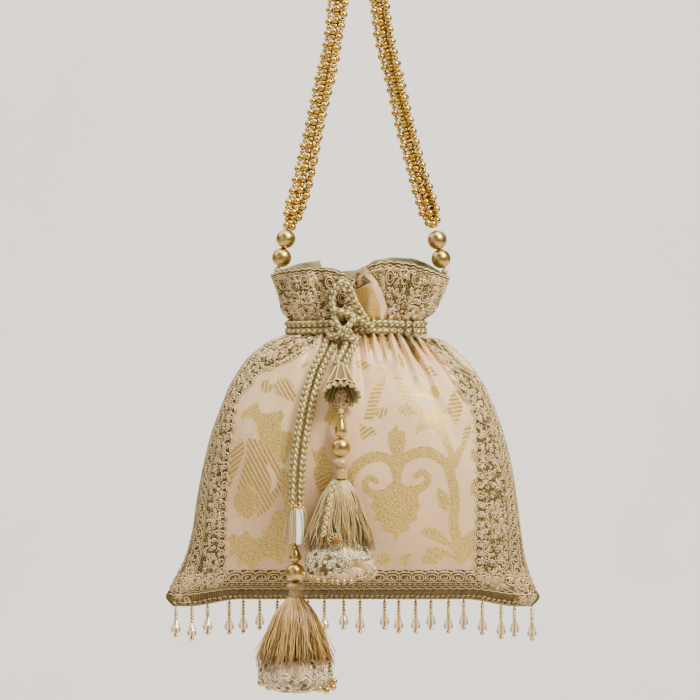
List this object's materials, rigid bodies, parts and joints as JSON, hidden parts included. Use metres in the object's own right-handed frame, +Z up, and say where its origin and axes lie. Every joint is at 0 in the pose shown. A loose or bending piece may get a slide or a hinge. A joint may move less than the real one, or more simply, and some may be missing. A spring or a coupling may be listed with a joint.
{
  "type": "potli bag",
  "caption": "Gathered brocade drawstring pouch with embroidered borders, a beaded handle loop, two silk tassels and a fringe of crystal drops.",
  "frame": {"origin": "inside of the top of the handle's loop, where a hook or a hand holds it", "axes": "+Z up, the front faces -Y, +X to the right when looking at the front"},
  "size_m": [0.218, 0.0978, 0.4354],
  "materials": {
    "brocade": "peach satin woven with gold motifs",
    "embroidery": "olive-green ground under silver-cream thread embroidery",
    "sage_lining": "plain sage cotton satin",
    "braid": "braided green cord with silver thread",
    "silk": "loose silk threads, cream and olive",
    "lace": "silver-thread lace over peach cloth",
    "gold_beads": "metallised gold plastic beads",
    "pearls": "ivory imitation pearl",
    "crystal": "clear peach faceted glass"
  },
  "bodies": {
    "handle": {"handle_strand_1": "gold_beads", "handle_strand_2": "gold_beads", "handle_strand_3": "gold_beads", "handle_strand_4": "gold_beads", "handle_strand_5": "gold_beads", "handle_bead_left_upper": "gold_beads", "handle_bead_left_lower": "gold_beads", "handle_bead_right_upper": "gold_beads", "handle_bead_right_lower": "gold_beads", "handle_pearl_left": "pearls", "handle_pearl_right": "pearls"},
    "pouch": {"front_panel": "brocade", "back_panel": "brocade", "lining": "sage_lining", "front_border": "embroidery", "back_border": "embroidery", "neck_cord": "braid", "knot": "braid", "bow_loop": "braid", "long_cord_left": "braid", "long_cord_right": "braid", "short_cord_left": "braid", "short_cord_right": "braid"},
    "long_cap": {"long_cap": "embroidery"},
    "long_tassel": {"long_drop_bead": "gold_beads", "long_round_bead": "gold_beads", "long_head": "silk", "long_skirt": "silk", "long_cuff": "lace", "long_cuff_beads": "gold_beads"},
    "short_bell": {"short_bell": "embroidery"},
    "short_tassel": {"short_seed_bead": "pearls", "short_drop_bead": "gold_beads", "short_round_bead": "gold_beads", "short_head": "silk", "short_skirt": "silk", "short_cuff": "lace", "short_cuff_beads": "gold_beads"},
    "drop_01": {"fringe_drop_01": "crystal"},
    "drop_02": {"fringe_drop_02": "crystal"},
    "drop_03": {"fringe_drop_03": "crystal"},
    "drop_04": {"fringe_drop_04": "crystal"},
    "drop_05": {"fringe_drop_05": "crystal"},
    "drop_06": {"fringe_drop_06": "crystal"},
    "drop_07": {"fringe_drop_07": "crystal"},
    "drop_08": {"fringe_drop_08": "crystal"},
    "drop_09": {"fringe_drop_09": "crystal"},
    "drop_10": {"fringe_drop_10": "crystal"},
    "drop_11": {"fringe_drop_11": "crystal"},
    "drop_12": {"fringe_drop_12": "crystal"},
    "drop_13": {"fringe_drop_13": "crystal"},
    "drop_14": {"fringe_drop_14": "crystal"},
    "drop_15": {"fringe_drop_15": "crystal"},
    "drop_16": {"fringe_drop_16": "crystal"},
    "drop_17": {"fringe_drop_17": "crystal"},
    "drop_18": {"fringe_drop_18": "crystal"},
    "drop_19": {"fringe_drop_19": "crystal"},
    "drop_20": {"fringe_drop_20": "crystal"},
    "drop_21": {"fringe_drop_21": "crystal"},
    "drop_22": {"fringe_drop_22": "crystal"}
  },
  "joints": [
    {"name": "pouch_swing", "type": "hinge", "parent": "handle", "child": "pouch", "pos_m": [0, 0, -0.1795], "axis": [1, 0, 0], "range_deg": [-45, 45]},
    {"name": "long_cap_swing", "type": "hinge", "parent": "pouch", "child": "long_cap", "pos_m": [-0.0364, -0.0356, -0.3145], "axis": [0, 1, 0], "range_deg": [0, 18]},
    {"name": "long_tassel_swing", "type": "hinge", "parent": "long_cap", "child": "long_tassel", "pos_m": [-0.0364, -0.0356, -0.336], "axis": [1, 0, 0], "range_deg": [-45, 0]},
    {"name": "short_bell_swing", "type": "hinge", "parent": "pouch", "child": "short_bell", "pos_m": [-0.0104, -0.0294, -0.233], "axis": [0, 1, 0], "range_deg": [-15, 0]},
    {"name": "short_tassel_swing", "type": "hinge", "parent": "short_bell", "child": "short_tassel", "pos_m": [-0.0104, -0.0414, -0.2576], "axis": [1, 0, 0], "range_deg": [-45, 0]},
    {"name": "drop_01_swing", "type": "hinge", "parent": "pouch", "child": "drop_01", "pos_m": [-0.1057, 0.00774, -0.3741], "axis": [1, 0, 0], "range_deg": [-60, 60]},
    {"name": "drop_02_swing", "type": "hinge", "parent": "pouch", "child": "drop_02", "pos_m": [-0.0965, 0.00774, -0.374], "axis": [1, 0, 0], "range_deg": [-60, 60]},
    {"name": "drop_03_swing", "type": "hinge", "parent": "pouch", "child": "drop_03", "pos_m": [-0.0874, 0.00774, -0.37224], "axis": [1, 0, 0], "range_deg": [-60, 60]},
    {"name": "drop_04_swing", "type": "hinge", "parent": "pouch", "child": "drop_04", "pos_m": [-0.0749, 0.00774, -0.36889], "axis": [1, 0, 0], "range_deg": [-60, 60]},
    {"name": "drop_05_swing", "type": "hinge", "parent": "pouch", "child": "drop_05", "pos_m": [-0.0668, 0.00774, -0.3681], "axis": [1, 0, 0], "range_deg": [-60, 60]},
    {"name": "drop_06_swing", "type": "hinge", "parent": "pouch", "child": "drop_06", "pos_m": [-0.0573, 0.00774, -0.3681], "axis": [1, 0, 0], "range_deg": [-60, 60]},
    {"name": "drop_07_swing", "type": "hinge", "parent": "pouch", "child": "drop_07", "pos_m": [-0.0472, 0.00774, -0.3681], "axis": [1, 0, 0], "range_deg": [-60, 60]},
    {"name": "drop_08_swing", "type": "hinge", "parent": "pouch", "child": "drop_08", "pos_m": [-0.0386, 0.00774, -0.3681], "axis": [1, 0, 0], "range_deg": [-60, 60]},
    {"name": "drop_09_swing", "type": "hinge", "parent": "pouch", "child": "drop_09", "pos_m": [-0.0294, 0.00774, -0.3681], "axis": [1, 0, 0], "range_deg": [-60, 60]},
    {"name": "drop_10_swing", "type": "hinge", "parent": "pouch", "child": "drop_10", "pos_m": [-0.02, 0.00774, -0.3681], "axis": [1, 0, 0], "range_deg": [-60, 60]},
    {"name": "drop_11_swing", "type": "hinge", "parent": "pouch", "child": "drop_11", "pos_m": [-0.0088, 0.00774, -0.3681], "axis": [1, 0, 0], "range_deg": [-60, 60]},
    {"name": "drop_12_swing", "type": "hinge", "parent": "pouch", "child": "drop_12", "pos_m": [0.0006, 0.00774, -0.3681], "axis": [1, 0, 0], "range_deg": [-60, 60]},
    {"name": "drop_13_swing", "type": "hinge", "parent": "pouch", "child": "drop_13", "pos_m": [0.0147, 0.00774, -0.3681], "axis": [1, 0, 0], "range_deg": [-60, 60]},
    {"name": "drop_14_swing", "type": "hinge", "parent": "pouch", "child": "drop_14", "pos_m": [0.0229, 0.00774, -0.3681], "axis": [1, 0, 0], "range_deg": [-60, 60]},
    {"name": "drop_15_swing", "type": "hinge", "parent": "pouch", "child": "drop_15", "pos_m": [0.0327, 0.00774, -0.3681], "axis": [1, 0, 0], "range_deg": [-60, 60]},
    {"name": "drop_16_swing", "type": "hinge", "parent": "pouch", "child": "drop_16", "pos_m": [0.0415, 0.00774, -0.3681], "axis": [1, 0, 0], "range_deg": [-60, 60]},
    {"name": "drop_17_swing", "type": "hinge", "parent": "pouch", "child": "drop_17", "pos_m": [0.0516, 0.00774, -0.3681], "axis": [1, 0, 0], "range_deg": [-60, 60]},
    {"name": "drop_18_swing", "type": "hinge", "parent": "pouch", "child": "drop_18", "pos_m": [0.0604, 0.00774, -0.3681], "axis": [1, 0, 0], "range_deg": [-60, 60]},
    {"name": "drop_19_swing", "type": "hinge", "parent": "pouch", "child": "drop_19", "pos_m": [0.0711, 0.00774, -0.36968], "axis": [1, 0, 0], "range_deg": [-60, 60]},
    {"name": "drop_20_swing", "type": "hinge", "parent": "pouch", "child": "drop_20", "pos_m": [0.082, 0.00774, -0.37271], "axis": [1, 0, 0], "range_deg": [-60, 60]},
    {"name": "drop_21_swing", "type": "hinge", "parent": "pouch", "child": "drop_21", "pos_m": [0.0897, 0.00774, -0.37403], "axis": [1, 0, 0], "range_deg": [-60, 60]},
    {"name": "drop_22_swing", "type": "hinge", "parent": "pouch", "child": "drop_22", "pos_m": [0.0998, 0.00774, -0.3741], "axis": [1, 0, 0], "range_deg": [-60, 60]}
  ]
}
